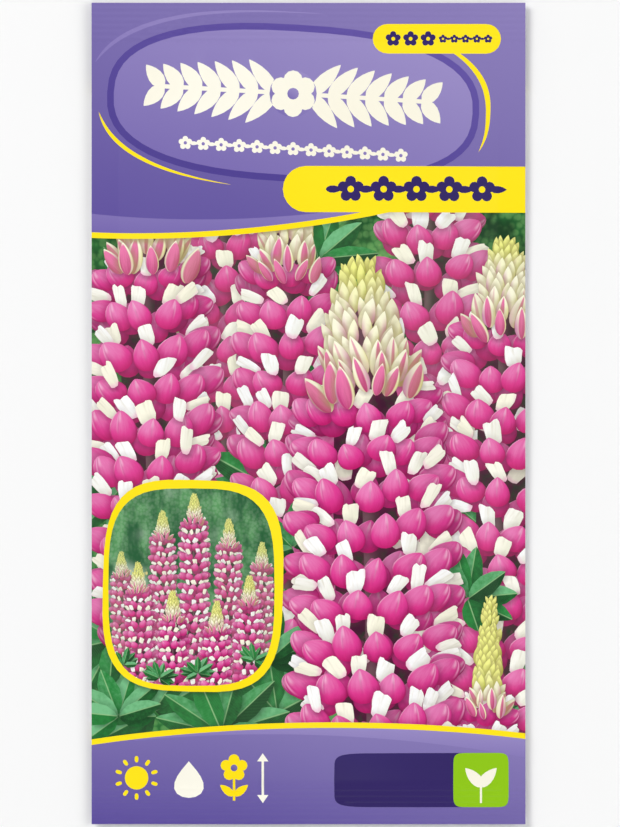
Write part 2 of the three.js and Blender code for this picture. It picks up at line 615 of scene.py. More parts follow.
leaf = {
    "leaflets": 9, "spread": 230, "stray": 0.08, "reach": (0.72, 0.28), "longer": (0.9, 1.08),
    "outward": 1.04, "slim": 0.15, "wider": (0.85, 1.15), "uneven": 0.25,
}


def paintLeaf(sheet, centre, turn, size, seed, squash=1.0, tint=0.5, haze=0.0, steps=6):
    # a hand of leaflets, seen at a slant when squash is under 1
    dice = random.Random(seed)
    across, up = axes(turn)
    least, more = leaf["reach"]
    order = list(range(leaf["leaflets"]))
    dice.shuffle(order)
    for k in order:
        angle = math.radians(leaf["spread"] * (k / (leaf["leaflets"] - 1) - 0.5))
        angle += dice.uniform(-leaf["stray"], leaf["stray"])
        reach = size * (least + more * math.cos(angle)) * dice.uniform(*leaf["longer"])
        way = across * math.sin(angle) + up * (math.cos(angle) * squash)
        long = reach * way.length / 2
        middle = Vector(centre) + way.normalized() * long * leaf["outward"]
        slim = leaf["slim"] * size * dice.uniform(*leaf["wider"])
        fold = dice.uniform(-leaf["uneven"], leaf["uneven"])
        tone = min(1, max(0, tint + dice.uniform(-leaf["uneven"], leaf["uneven"])))
        sheet.lay(
            "leaf", swelling(steps, **leaflet), middle, math.atan2(way.x, way.y), (slim, long),
            fold, 1.0, tone, dice.random(), haze,
        )


def onRing(angle, squareness):
    # a point of a ring with a radius of 1, squarer the higher the second value is
    power = 2 / squareness
    return tuple(math.copysign(abs(c) ** power, c) for c in (math.cos(angle), math.sin(angle)))


def ring(count, squareness=2.0):
    return [onRing(2 * math.pi * i / count, squareness) for i in range(count)]


def stroke(start, end, thick, squareness=2.0, count=40):
    # part of a ring drawn as with a brush, thin at both ends; angles run round from the right
    outer, inner = [], []
    for i in range(count + 1):
        x, y = onRing(start + (end - start) * i / count, squareness)
        depth = thick * math.sin(math.pi * i / count) ** 0.7
        outer.append((x, y))
        inner.append((x * (1 - depth), y * (1 - depth)))
    return outer + inner[-2:0:-1]


def bar(halfLong, halfTall):
    right = [(halfLong, -halfTall), (halfLong, halfTall)]
    return right + mirrored(right)


def pill(halfLong, halfTall, roundRight=True, steps=10):
    points = []
    for side in (1, -1):
        bow = halfTall if side < 0 or roundRight else 0
        for i in range(steps + 1):
            angle = -math.pi / 2 + math.pi * i / steps
            reach = halfLong - bow + bow * math.cos(angle)
            points.append((side * reach, side * halfTall * math.sin(angle)))
    return points


farLeaves = [  # x, y, turn, size, tint
    (-34, 22, -0.6, 15, 0.4), (2, 30, 0.3, 14, 0.5), (36, 8, 0.8, 15, 0.35),
    (-8, -14, -0.5, 17, 0.45), (-36, -14, -0.9, 16, 0.55), (36, -24, 1.0, 16, 0.4),
    (-2, -40, 0.2, 18, 0.5), (34, -46, 1.3, 19, 0.6), (-6, -58, -0.8, 18, 0.45),
    (38, -60, 0.5, 14, 0.5), (-2, 6, -0.2, 13, 0.4), (-30, -58, -0.5, 17, 0.7),
    (-38, -44, -1.1, 17, 0.6), (-17, -62, 0.2, 17, 0.55),
]
nearLeaves = [
    (31, -36, 0.9, 13, 0.5), (-3, -26, -0.7, 12, 0.55), (-8, -48, -0.3, 14, 0.4),
    (-37, -59, -0.3, 13, 0.75),
]
farSpikes = [  # tip, foot, width, seed and what sets it apart
    ((-16.5, 56), (-16, -20), 17.5, 11, {"haze": 0.08, "tone": -0.15, "grain": 1.35}),
    ((24, 60), (23, -20), 20, 12, {"haze": 0.08, "tone": 0.1, "grain": 1.25}),
]
midSpikes = [
    ((-4, 44), (-4, -34), 19, 13, {"haze": 0.04, "tone": 0.05, "grain": 1.28}),
    ((-31, 49), (-29.5, -30), 24.5, 14, {"haze": 0.02, "bend": -0.03, "grain": 1.04}),
    ((38.5, 34), (37, -52), 22, 15, {"haze": 0.03, "tone": -0.05, "grain": 1.14}),
]
nearSpikes = [
    ((35.5, -36), (34, -72), 11.5, 17, {"young": 2.7, "grain": 1.9}),
    ((10, 30), (13, -70), 32.5, 16, {"bend": 0.02, "steps": 11, "near": 0.12, "grain": 0.82}),
]


def paintSpikes(sheet, stand):
    for tip, foot, width, seed, apart in stand:
        Spike(sheet, tip, foot, width, seed, **apart)


def paintLeaves(sheet, leaves, firstSeed, **ways):
    for i, (x, y, turn, size, tint) in enumerate(leaves):
        paintLeaf(sheet, (x, y), turn, size, firstSeed + i, tint=tint, **ways)


def drawPicture(sheet):
    # leaves and far spikes first, the great spike last
    paintSpikes(sheet, farSpikes)
    paintLeaves(sheet, farLeaves, 40, squash=0.75, haze=0.05)
    paintSpikes(sheet, midSpikes)
    paintLeaves(sheet, nearLeaves, 60, squash=0.7)
    paintSpikes(sheet, nearSpikes)


inset = {
    "middle": (-22.5, -33.5), "frame": (17.6, 20.6), "frameTurn": 0.025, "squareness": 3.4,
    "pane": (16.2, 19.2), "paneMiddle": (-22.8, -33.75),
    "foot": -56, "spread": -0.05, "grain": 1.25, "young": 1.35, "firstSeed": 70, "steps": 4,
}
insetSpikes = [  # x, top, width, haze
    (-36.5, -27, 4.4, 0.2), (-9.0, -25, 4.6, 0.2), (-28.4, -19, 5.0, 0.14),
    (-15.4, -20.5, 5.0, 0.14), (-22.2, -15.6, 5.4, 0.08), (-33.2, -29, 5.4, 0.05),
    (-11.4, -31.5, 5.4, 0.05), (-26.4, -34.5, 5.6, 0.0), (-17.8, -36.5, 5.6, 0.0),
]
insetLeaves = [
    (-36, -49, -0.4, 4.5, 0.5), (-29, -51.5, 0.3, 4.5, 0.5), (-21.5, -50.5, -0.1, 4.5, 0.5),
    (-10.5, -48, 0.5, 4.5, 0.5),
]


def drawInset(sheet):
    # a small view of the whole drift, in a frame with soft corners
    outline = ring(48, inset["squareness"])
    sheet.lay("yellow", outline, inset["middle"], inset["frameTurn"], inset["frame"])
    sheet.window = sheet.lay("meadow", outline, inset["paneMiddle"], 0, inset["pane"])
    for i, (x, top, width, haze) in enumerate(insetSpikes):
        foot = x + (x - inset["middle"][0]) * inset["spread"]
        Spike(
            sheet, (x, top), (foot, inset["foot"]), width, inset["firstSeed"] + i, haze,
            steps=inset["steps"], young=inset["young"], grain=inset["grain"],
        )
    paintLeaves(sheet, insetLeaves, 90, squash=0.7, steps=3)
    sheet.window = None


bands = {
    "headLow": lambda x: 36 + 0.09 * x + 0.0022 * (x + 12) ** 2,
    "footHigh": lambda x: -60.5 - 0.05 * x - 0.0016 * (x - 20) ** 2,
    "line": 1.1, "sweep": 3.4, "sweepEnd": 0.2, "sweepPower": 1.6, "sweepLong": 0.8,
    "strip": (25, 4.5), "stripMiddle": (20, 43.6),
}
panel = {
    "middle": (-3, 60.4), "turn": 0.06, "ring": (36.3, 15.4), "field": (35, 14.1),
    "squareness": 2.5,
}
arcs = [  # ink, share of the panel's ring, start, end and thickness
    ("yellow", (1.06, 1.12), -0.35, 1.15, 0.03),
    ("lilac", (1.1, 1.16), 1.5, 2.9, 0.035),
    ("yellow", (1.05, 1.1), 3.3, 4.5, 0.03),
]


def raised(edge, off):
    return lambda x: edge(x) + off


def drawBands(sheet):
    # two fields of violet, each with a pale sweep that dies out along its yellow edge
    headLow, footHigh, line = bands["headLow"], bands["footHigh"], bands["line"]
    sweepLong = halfWidth * bands["sweepLong"]

    def swept(edge, way):
        # the edge moved up or down by a sweep that is widest at one side
        def moved(x):
            share = (0.5 - way * x / halfWidth / 2) ** bands["sweepPower"]
            return edge(x) + way * (bands["sweep"] * share + bands["sweepEnd"])
        return moved

    sheet.field("violet", halfHeight, headLow)
    for ink, share, start, end, thick in arcs:
        size = [s * r for s, r in zip(share, panel["ring"])]
        outline = stroke(start, end, thick, panel["squareness"])
        sheet.lay(ink, outline, panel["middle"], panel["turn"], size)
    for ink, size in (("deepViolet", panel["ring"]), ("lilac", panel["field"])):
        sheet.lay(ink, ring(56, panel["squareness"]), panel["middle"], panel["turn"], size)
    headLine = raised(headLow, line)
    sheet.field("lilac", swept(headLine, 1), headLine, right=sweepLong)
    sheet.field("yellow", headLine, headLow)
    sheet.lay("yellow", pill(*bands["strip"], roundRight=False), bands["stripMiddle"])
    sheet.field("violet", footHigh, -halfHeight)
    sheet.field("lilac", footHigh, swept(footHigh, -1), left=-sweepLong)
    sheet.field("yellow", raised(footHigh, line), footHigh)


flower = {"reach": 0.62, "petal": 0.42, "heart": 0.45, "eye": 0.26}
sprig = {
    "centre": (-3, 62.2), "half": 27, "turn": 0.06, "leaf": 4.1, "slim": 1.5, "pairs": 7,
    "thick": 0.42, "spread": 0.85, "flower": 4.4, "rim": 0.2, "bare": 0.4, "back": 0.06,
    "sizes": (1.12, 0.45), "outward": 0.95,
}
garland = {"apart": 1.4, "leaf": (0.3, 0.66)}
sunIcon = {"disc": 2.3, "rays": 10, "from": 3.0, "to": 4.3, "thick": 0.36}
heightIcon = {
    "half": 4.4, "thick": 0.24, "head": 1.1, "apart": 5.6, "flower": 2.6, "flowerUp": 2,
    "leaves": {"across": 1.4, "up": -2.4, "lean": 0.9, "size": (0.8, 1.7), "steps": 6},
}


def dot(sheet, ink, centre, radius, count=12, squareness=2.0):
    sheet.lay(ink, ring(count, squareness), centre, 0, (radius, radius))


def drawFlower(sheet, ink, eye, centre, size, petals=5):
    for i in range(petals):
        reach = axes(2 * math.pi * i / petals)[1] * flower["reach"] * size
        dot(sheet, ink, Vector(centre) + reach, flower["petal"] * size)
    dot(sheet, ink, centre, flower["heart"] * size)
    dot(sheet, eye, centre, flower["eye"] * size)


def drawGarland(sheet, ink, eye, centre, half, size, turn=0.0):
    # a run of small flowers with a leaf between each two
    count = round(half / size / garland["apart"])
    leafSize = [share * size for share in garland["leaf"]]
    for i in range(-count, count + 1):
        middle = Vector(centre) + axes(turn)[0] * (half * i / count)
        if i % 2:
            sheet.lay(ink, swelling(6, **almond), middle, turn + math.pi / 2, leafSize)
        else:
            drawFlower(sheet, ink, eye, middle, size)


def drawSprig(sheet, ink, field):
    # a long sprig of paired leaves, growing out both ways from a small flower
    across = axes(sprig["turn"])[0]
    middle, (largest, smaller) = Vector(sprig["centre"]), sprig["sizes"]
    sheet.lay(ink, bar(sprig["half"], sprig["thick"]), middle, sprig["turn"])
    for side in (-1, 1):
        for i in range(sprig["pairs"]):
            share = (i + 1 + sprig["bare"]) / (sprig["pairs"] + sprig["bare"])
            size = sprig["leaf"] * (largest - smaller * share)
            root = middle + across * side * sprig["half"] * (share - sprig["back"])
            for way in (-1, 1):
                lean = sprig["turn"] + side * (math.pi / 2 - way * sprig["spread"])
                leafMiddle = root + axes(lean)[1] * size * sprig["outward"]
                sheet.lay(ink, swelling(8, **almond), leafMiddle, lean, (sprig["slim"], size))
    dot(sheet, field, middle, sprig["flower"] + sprig["rim"], 20)
    drawFlower(sheet, ink, field, middle, sprig["flower"], 6)


def drawSun(sheet, ink, centre):
    dot(sheet, ink, centre, sunIcon["disc"], 24)
    reach, half = (sunIcon["to"] + sunIcon["from"]) / 2, (sunIcon["to"] - sunIcon["from"]) / 2
    for i in range(sunIcon["rays"]):
        angle = 2 * math.pi * i / sunIcon["rays"]
        middle = Vector(centre) + axes(angle)[1] * reach
        sheet.lay(ink, pill(half, sunIcon["thick"], steps=4), middle, angle + math.pi / 2)


def drawDrop(sheet, ink, centre, size=3.6):
    sheet.lay(ink, swelling(9, **waterDrop), centre, 0, (size, size))


def drawPair(sheet, ink, centre, leaves):
    # two leaves that lean away from each other
    for way in (-1, 1):
        place = (centre[0] + way * leaves["across"], centre[1] + leaves["up"])
        outline = swelling(leaves["steps"], **almond)
        sheet.lay(ink, outline, place, way * leaves["lean"], leaves["size"])


def drawHeight(sheet, ink, centre):
    # a flower beside an arrow that runs from the soil to its top
    x, y = centre
    half, thick, head = heightIcon["half"], heightIcon["thick"], heightIcon["head"]
    arrow = (x + heightIcon["apart"], y)
    point = [(-head, half - head), (head, half - head), (0, half + 0.5)]
    sheet.lay("cream", bar(thick, half), arrow)
    for end in (-1, 1):
        sheet.lay("cream", point, arrow, 0, (1, end))
    sheet.lay(ink, bar(thick, (half + 1) / 2), (x, y + (1 - half) / 2))
    drawPair(sheet, ink, centre, heightIcon["leaves"])
    drawFlower(sheet, ink, "violet", (x, y + heightIcon["flowerUp"]), heightIcon["flower"])


def drawSigns(sheet, places):
    # what the plant wants: sun, water and room above it
    drawSun(sheet, "yellow", places["sun"])
    drawDrop(sheet, "cream", places["drop"])
    drawHeight(sheet, "yellow", places["height"])


tag = {
    "middle": (25, 73.0), "half": (12.5, 2.9), "first": 16.5, "apart": 3.4, "flowers": 3,
    "flower": 1.45, "garland": ((30.6, 73.0), 4.4, 0.8),
}
label = {
    "middle": (22.0, -71.4), "half": (17.0, 5.3), "square": 33.6, "squareHalf": 5.4,
    "leaves": {"across": 1.35, "up": 0.5, "lean": 0.75, "size": (1.15, 2.5), "steps": 9},
    "stalk": (0.2, 1.9), "stalkUp": -2.6,
}
garlands = [  # ink, its flowers' eyes, middle, half length, flower size and turn
    ("cream", "lilac", (-3, 51.4), 21, 1.3, 0.06),
    ("indigo", "yellow", (21, 43.6), 16, 2.5, 0.0),
]
frontSigns = {"sun": (-33.5, -71.0), "drop": (-23.3, -71.3), "height": (-14.5, -71.0)}


def drawTag(sheet):
    sheet.lay("yellow", pill(*tag["half"]), tag["middle"])
    for i in range(tag["flowers"]):
        place = (tag["first"] + i * tag["apart"], tag["middle"][1])
        drawFlower(sheet, "indigo", "yellow", place, tag["flower"])
    drawGarland(sheet, "indigo", "yellow", *tag["garland"])


def drawLabel(sheet):
    # a bare field, and a square with two leaves on a stalk
    (middleX, y), x, (wide, tall) = label["middle"], label["square"], label["half"]
    sheet.lay("indigo", ring(40, 8), (middleX, y), 0, (wide, tall))
    sheet.lay("green", ring(40, 8), (x, y), 0, (label["squareHalf"], tall))
    drawPair(sheet, "cream", (x, y), label["leaves"])
    sheet.lay("cream", bar(*label["stalk"]), (x, y + label["stalkUp"]))


def drawLabels(sheet):
    # bare fields and plain ornament, with no lettering
    drawSprig(sheet, "cream", "lilac")
    for row in garlands:
        drawGarland(sheet, *row)
    drawTag(sheet)
    drawSigns(sheet, frontSigns)
    drawLabel(sheet)


def drawFront():
    sheet = Print("ground")
    for draw in (drawPicture, drawInset, drawBands, drawLabels):
        draw(sheet)
    return sheet


months = {"sow": (3, 4, 5), "flower": (6, 7, 8), "cell": 5.7, "apart": 0.55, "y": -4.0}
backBands = {
    "headLow": lambda x: 60 + 0.0016 * x * x, "footHigh": lambda x: -60 - 0.0016 * x * x,
    "line": 1.0,
}
backCards = [  # ink, points, squareness, middle, half size
    ("lilac", 48, 8, (0, 71.5), (30, 4.6)),
    ("white", 56, 12, (0, 30.5), (37, 24.5)),
    ("white", 48, 9, (-20, -33), (17, 21)),
    ("white", 48, 9, (20, -22), (17, 10)),
    ("lilac", 48, 9, (20, -44), (17, 10)),
]
backGarlands = [
    ("cream", "lilac", (0, 71.5), 24, 1.8),
    ("cream", "violet", (0, -70.5), 30, 1.6),
]
backSigns = {"sun": (9, -44), "drop": (18.5, -44), "height": (28, -44)}
backSpikes = [((-20, -16), (-20, -48), 9, 83, {"steps": 6})]
backLeaves = [(-20, -46, -0.7, 10, 0.6), (-20, -46, 0.9, 10, 0.45)]
footLeaves = [(-20, -50, 0.1, 9, 0.7)]


def drawBack():
    # the side that tells how to sow, with its fields left bare
    sheet = Print("pale")
    headLow, footHigh, line = (backBands[part] for part in ("headLow", "footHigh", "line"))
    sheet.field("violet", halfHeight, raised(headLow, line))
    sheet.field("yellow", raised(headLow, line), headLow)
    sheet.field("violet", footHigh, -halfHeight)
    sheet.field("yellow", raised(footHigh, line), footHigh)
    for ink, count, squareness, middle, size in backCards:
        sheet.lay(ink, ring(count, squareness), middle, 0, size)
    drawGarland(sheet, *backGarlands[0])
    for month in range(12):
        isSown, isOpen = month in months["sow"], month in months["flower"]
        x = (5.5 - month) * (months["cell"] + months["apart"])  # left to right, seen from behind
        ink = "green" if isSown else "yellow" if isOpen else "white"
        dot(sheet, ink, (x, months["y"]), months["cell"] / 2, 24, 7)
    paintLeaves(sheet, backLeaves, 81, squash=0.6)
    paintSpikes(sheet, backSpikes)
    paintLeaves(sheet, footLeaves, 84, squash=0.55)
    drawSigns(sheet, backSigns)
    drawGarland(sheet, *backGarlands[1])
    return sheet


gap = 0.0015  # points closer than this are one


def ownersOf(sheet, cut):
    # the shape on top of each face, or None outside the packet
    owners = []
    for corners, covering in zip(cut[2], cut[5]):
        owner = None
        if 0 in covering:
            middle = sum((cut[0][i] for i in corners), Vector((0, 0))) / 3
            for k in sorted(covering, reverse=True):
                shape = sheet.shapes[k]
                inside = shape["window"] is None or shape["window"] in covering
                if inside and (middle - shape["middle"]).length <= shape["radius"]:
                    owner = k
                    break
        owners.append(owner)
    return owners


def shownLines(cut, owners):
    # edges with a different shape on each side
    first, lines = {}, []
    for corners, owner in zip(cut[2], owners):
        for a, b in zip(corners, corners[1:] + corners[:1]):
            key = (min(a, b), max(a, b))
            if first.setdefault(key, owner) != owner:
                lines.append(key)
    return lines


def evenly(half, pitch):
    count = round(2 * half / pitch)
    return [-half + 2 * half * i / count for i in range(count + 1)]


def gridPoints(pitch):
    # an even grid, closer over the ribs of the end seals
    xs, ribbed = evenly(halfWidth, pitch), halfHeight - packet["endSeal"]
    points = [Vector((x, y)) for y in evenly(ribbed, pitch) for x in xs]
    rows = round(packet["endSeal"] / (relief["ribPitch"] / 4))
    for end in (-1, 1):
        for i in range(1, rows + 1):
            y = end * (ribbed + packet["endSeal"] * i / rows)
            points += [Vector((x, y)) for x in xs[::2] + xs[-1:]]
    return points


def pinned(point, reach=0.02):
    # a point that all but touches the packet's edge is put on it
    ends = zip(point, (halfWidth, halfHeight))
    return Vector([h if c > h - reach else -h if c < reach - h else c for c, h in ends])


def cutSheet(sheet, pitch):
    # the shapes are cut into each other, then the lines that show are cut into an even grid
    points, faces = [], []
    for shape in sheet.shapes:
        faces.append(list(range(len(points), len(points) + len(shape["points"]))))
        points += shape["points"]
    first = delaunay_2d_cdt(points, [], faces, 0, gap)
    owners = ownersOf(sheet, first)
    lines = shownLines(first, owners)
    print("print: shapes", len(sheet.shapes), "cut faces", len(first[2]), "lines", len(lines))
    under = BVHTree.FromPolygons([p.to_3d() for p in first[0]], first[2])
    used = sorted({i for line in lines for i in line})
    places = {old: new for new, old in enumerate(used)}
    points = [pinned(first[0][i]) for i in used] + gridPoints(pitch)
    second = delaunay_2d_cdt(points, [(places[a], places[b]) for a, b in lines], [], 0, gap)
    faces, kept = [], []
    for corners in second[2]:
        a, b, c = (second[0][i] for i in corners)
        middle = (a + b + c) / 3
        hit = under.ray_cast(Vector((middle.x, middle.y, 1)), Vector((0, 0, -1)))[2]
        faces.append(corners if (b - a).cross(c - a) > 0 else corners[::-1])
        kept.append((owners[hit] if hit is not None else None) or 0)
    return second[0], faces, kept


def shadingEdges(flat, faces, owners):
    # the middle of each edge between two shapes, with the covered one and how deep its shade is
    light, least = Vector(printLight["way"]).normalized(), printLight["allRound"]
    beside, edges = {}, []
    for corners, owner in zip(faces, owners):
        for a, b in zip(corners, corners[1:] + corners[:1]):
            other = beside.pop((b, a), None)
            if other is None:
                beside[(a, b)] = owner
            elif other != owner:
                run = flat[b] - flat[a] if owner < other else flat[a] - flat[b]
                away = Vector((-run.y, run.x)).normalized()  # points into the covered shape
                depth = printLight["contact"] * (least + (1 - least) * max(0, -away.dot(light)))
                edges.append(((flat[a] + flat[b]) / 2, min(owner, other), depth))
    return edges


def contactShade(sheet, flat, faces, owners):
    # how dark a petal is where a nearer one covers it, by corner and owner
    edges, shade = shadingEdges(flat, faces, owners), {}
    tree = KDTree(len(edges))
    for number, edge in enumerate(edges):
        tree.insert(edge[0].to_3d(), number)
    tree.balance()
    for corners, owner in zip(faces, owners):
        shape = sheet.shapes[owner]
        if shape["ink"] not in petalInks:
            continue
        reach = min(printLight["reach"], shape["reach"])
        for i in corners:
            if (i, owner) not in shade:
                near = tree.find_range(flat[i].to_3d(), reach * 1.5)
                deepest = max((
                    edges[number][2] * math.exp(-((far / reach) ** 2))
                    for _, number, far in near if edges[number][1] == owner
                ), default=0)
                shade[(i, owner)] = 1 - deepest
    return shade


def boundaryLoop(faces):
    sides = {pair for corners in faces for pair in zip(corners, corners[1:] + corners[:1])}
    rim = {a: b for a, b in sides if (b, a) not in sides}
    loop = [min(rim)]
    for _ in rim:
        loop.append(rim[loop[-1]])
    assert loop.pop() == loop[0], "the packet's edge isn't one loop"
    return loop


# what an ink can read at each corner: where it is on a petal, the light there, the petal's tone
petalLayers = {"petalPlace": "u v seam", "petalLight": "lx ly shade", "petalTone": "tint roll haze"}
pitches = {"front": 0.8, "back": 1.2, "inside": 2.0}  # of the even grids
# where the print and the plain sides start in the piece's own map, and how far they run
printedSpan, plainSpan, upSpan = (0.002, 0.956), (0.965, 0.03), (0.002, 0.996)


def layPrint(mesh, sheet, points, owners, shade):
    # the inside and the cut edge have no owner
    values = {layer: [] for layer in petalLayers}
    spots = []
    for layer in petalLayers:
        mesh.attributes.new(layer, "FLOAT_VECTOR", "CORNER")
    mesh.uv_layers.new(name="OFBake")
    for polygon, owner in zip(mesh.polygons, owners):
        shape = None if owner is None else sheet.shapes[owner]
        left, wide = printedSpan if shape else plainSpan
        for i in polygon.vertices:
            x, y = points[i].xy
            across, up = x / halfWidth / 2 + 0.5, y / halfHeight / 2 + 0.5
            spots += (left + wide * across, upSpan[0] + upSpan[1] * up)
            place, light, tone = (0, 0, 0), (0, 0, 1), (0, 0, 0)
            if shape:
                centre, u, v = shape["frame"]
                lx, ly, lit = shape["light"]
                off = Vector((x, y)) - centre
                place = (off.dot(u), off.dot(v), shape["seam"])
                light = (lx, ly, lit * shade.get((i, owner), 1))
                tone = shape["tone"]
            for layer, value in zip(petalLayers, (place, light, tone)):
                values[layer] += value
    for layer in petalLayers:
        mesh.attributes[layer].data.foreach_set("vector", values[layer])
    mesh.uv_layers["OFBake"].data.foreach_set("uv", spots)


def makeWeb(name, sheet, height, facing, pitch):
    # One closed sheet: the printed face, the plain inside and the cut edge. The print's own lines
    # are its edges, so it is cut by triangulation and not by operators.
    flat, faces, owners = cutSheet(sheet, pitch)
    shade = contactShade(sheet, flat, faces, owners)
    loop = boundaryLoop(faces)
    points = [Vector((p.x, p.y, height(p.x, p.y))) for p in flat]
    normals = [slopeOf(height, p.x, p.y) * facing for p in flat]

    around = [(i, (i + 1) % len(loop)) for i in range(len(loop))]
    plain = [flat[i] for i in loop] + gridPoints(pitches["inside"])
    inner = delaunay_2d_cdt(plain, around, [], 0, gap)
    start = len(points)
    for p in inner[0]:
        points.append(Vector((p.x, p.y, height(p.x, p.y) - facing * packet["webThickness"])))
        normals.append(slopeOf(height, p.x, p.y) * -facing)
    for corners in inner[2]:
        a, b, c = (inner[0][i] for i in corners)
        upward = (b - a).cross(c - a) > 0
        faces.append([i + start for i in (corners[::-1] if upward else corners)])
    below = {loop[k]: new + start for new, old in enumerate(inner[3]) for k in old if k < len(loop)}
    faces += [[a, below[a], below[b], b] for a, b in zip(loop, loop[1:] + loop[:1])]
    if facing < 0:
        faces = [corners[::-1] for corners in faces]
    owners += [None] * (len(faces) - len(owners))

    mesh = bpy.data.meshes.new(name)
    mesh.from_pydata([p * mm for p in points], [], faces)
    layPrint(mesh, sheet, points, owners, shade)
    inks = list(inkMaterials)
    worn = ["paper" if owner is None else sheet.shapes[owner]["ink"] for owner in owners]
    mesh.polygons.foreach_set("material_index", [inks.index(ink) for ink in worn])
    mesh.polygons.foreach_set("use_smooth", [len(corners) == 3 for corners in faces])
    unset = Vector((0, 0, 0))  # the cut edge keeps its own normals
    turned = [normals[i] if len(corners) == 3 else unset for corners in faces for i in corners]
    mesh.normals_split_custom_set(turned)
    for ink in inks:
        mesh.materials.append(inkMaterials[ink])
    print(name, "faces", len(mesh.polygons))
    return placed(name, mesh)


coated = {"Roughness": 0.4, "Specular_IOR_Level": 0.28, "Coat_Weight": 0.13, "Coat_Roughness": 0.16}
dark = {"shadow": "#5f0a3c", "haze": "#7aa377"}


def coatedPaper(name):
    finish = newFinish(name, **coated)
    finish.bump(finish.noise(5200), 0.05, 0.00002)
    return finish


def petalPaper(name):
    # coated paper, with all that the web says about its petals
    finish, said = coatedPaper(name), {}
    for layer, names in petalLayers.items():
        said.update(zip(names.split(), finish.attribute(layer)))
    return finish, SimpleNamespace(**said)


def dimmed(finish, p, body, shadow=dark["shadow"]):
    # the shade that nearer petals cast, then the haze of what is far off
    layers = ((1 - p.shade).clamped(), shadow), (p.haze, dark["haze"])
    return finish.paint(finish.coats(body, *layers))


def girth(v, foot, tip, wide=1.0):
    # how wide a swelling outline is at v
    return ((v + 1).atLeast(0.001) ** foot * (1 - v).atLeast(0.001) ** tip * wide).atLeast(0.02)


def streaked(finish, across, along, roll):
    # fine lines that run along a petal, other ones on each
    grain = finish.join(across + roll * 31, along, roll * 9)
    return finish.noise(1.0, 4.0, 0.65, grain) - 0.5


wingTones = {
    "deep": "#a2065a", "body": "#de3a92", "light": "#ee8ec4", "foot": ("#cf0f6c", 0.5),
    "glint": ("#fbd3e8", 0.55), "ridge": "#f9c0df", "crease": ("#8c0d4f", 0.22),
    "litRim": ("#fbd0e6", 0.65), "darkRim": ("#850c4c", 0.5),
}


def wingInk():
    finish, p = petalPaper("wingInk")
    v, seam, tone = p.v, p.seam, wingTones
    rise = (v + 1) * 0.5
    off = p.u - wing["lean"] * seam * rise * rise
    share = off / girth(v, wing["blunt"], wing["point"] + wing["upright"] * (1 - seam.size()))
    bulge = (1.1 - off * off * 0.85 - v * v * 0.8).atLeast(0.03).root()
    facing = off * p.lx + v * p.ly
    lit = facing * 0.38 + bulge * 0.64 + 0.05 + (p.tint - 0.5) * 0.2
    lit = lit + streaked(finish, share * 4.5, v * 0.9 + p.roll * 17, p.roll) * 0.34
    rim, glow = share.size().between(0.86, 1.0), facing.between(0.1, 0.8)
    glint = (share - seam * 0.55).line(4.5) * v.between(0.2, 0.6) * v.between(1.0, 0.8)
    ridge = (share - seam * 0.88).line(11) * v.between(-0.45, 0.5)
    crease = (share - seam * 0.76).line(9) * v.between(-0.8, 0.2)
    return dimmed(finish, p, finish.coats(
        finish.mix(lit.between(0.0, 0.58), tone["deep"], tone["body"]),
        (lit.between(0.5, 1.05), tone["light"]),
        (v.between(0.0, -1.0), tone["foot"]),
        (glint, tone["glint"]),
        (ridge * (0.3 + seam.size() * 0.4), tone["ridge"]),
        (crease, tone["crease"]),
        (rim * glow, tone["litRim"]),
        (rim * (1 - glow), tone["darkRim"]),
    ))


bannerTones = {
    "cool": "#ffffff", "warm": "#fffbe6", "streak": ("#e9e2d2", 0.45),
    "turned": ("#d8d8bf", 0.42), "crease": ("#c9c3a6", 0.35), "foot": ("#f0a9cb", 0.7),
    "rim": ("#f3c6dc", 0.4), "shadow": "#8d7f78",
}


def bannerInk():
    finish, p = petalPaper("bannerInk")
    u, v, roll, tone = p.u, p.v, p.roll, bannerTones
    grain = finish.join(u * 3.2 + roll * 23, v * 0.8, roll * 7)
    streaks = finish.noise(1.0, 3.0, at=grain)
    turned = (u * p.lx + v * p.ly * 0.4 + (roll - 0.5) * 0.5).between(0.25, -0.5)
    crease = (u - p.seam * 0.3).line(6) * v.between(-0.2, 0.9)
    return dimmed(finish, p, finish.coats(
        finish.mix(p.tint.between(0.2, 0.9), tone["cool"], tone["warm"]),
        (streaks.between(0.45, 0.75), tone["streak"]),
        (turned, tone["turned"]),
        (crease, tone["crease"]),
        ((v - u.size() * 0.2).between(-0.55, -1.05), tone["foot"]),
        (u.size().between(0.8, 1.08), tone["rim"]),
    ), tone["shadow"])


budTones = {
    "young": ("#b3bb3e", "#f5f58e"), "older": ("#e4dc9c", "#fffce2"),
    "petal": ("#b01264", "#ec64a8"), "blush": ("#e9b9d2", 0.45), "foot": ("#b3b552", 0.45),
    "flush": ("#c765ab", 0.85), "edge": ("#8a8450", 0.5), "shadow": "#978a50",
}


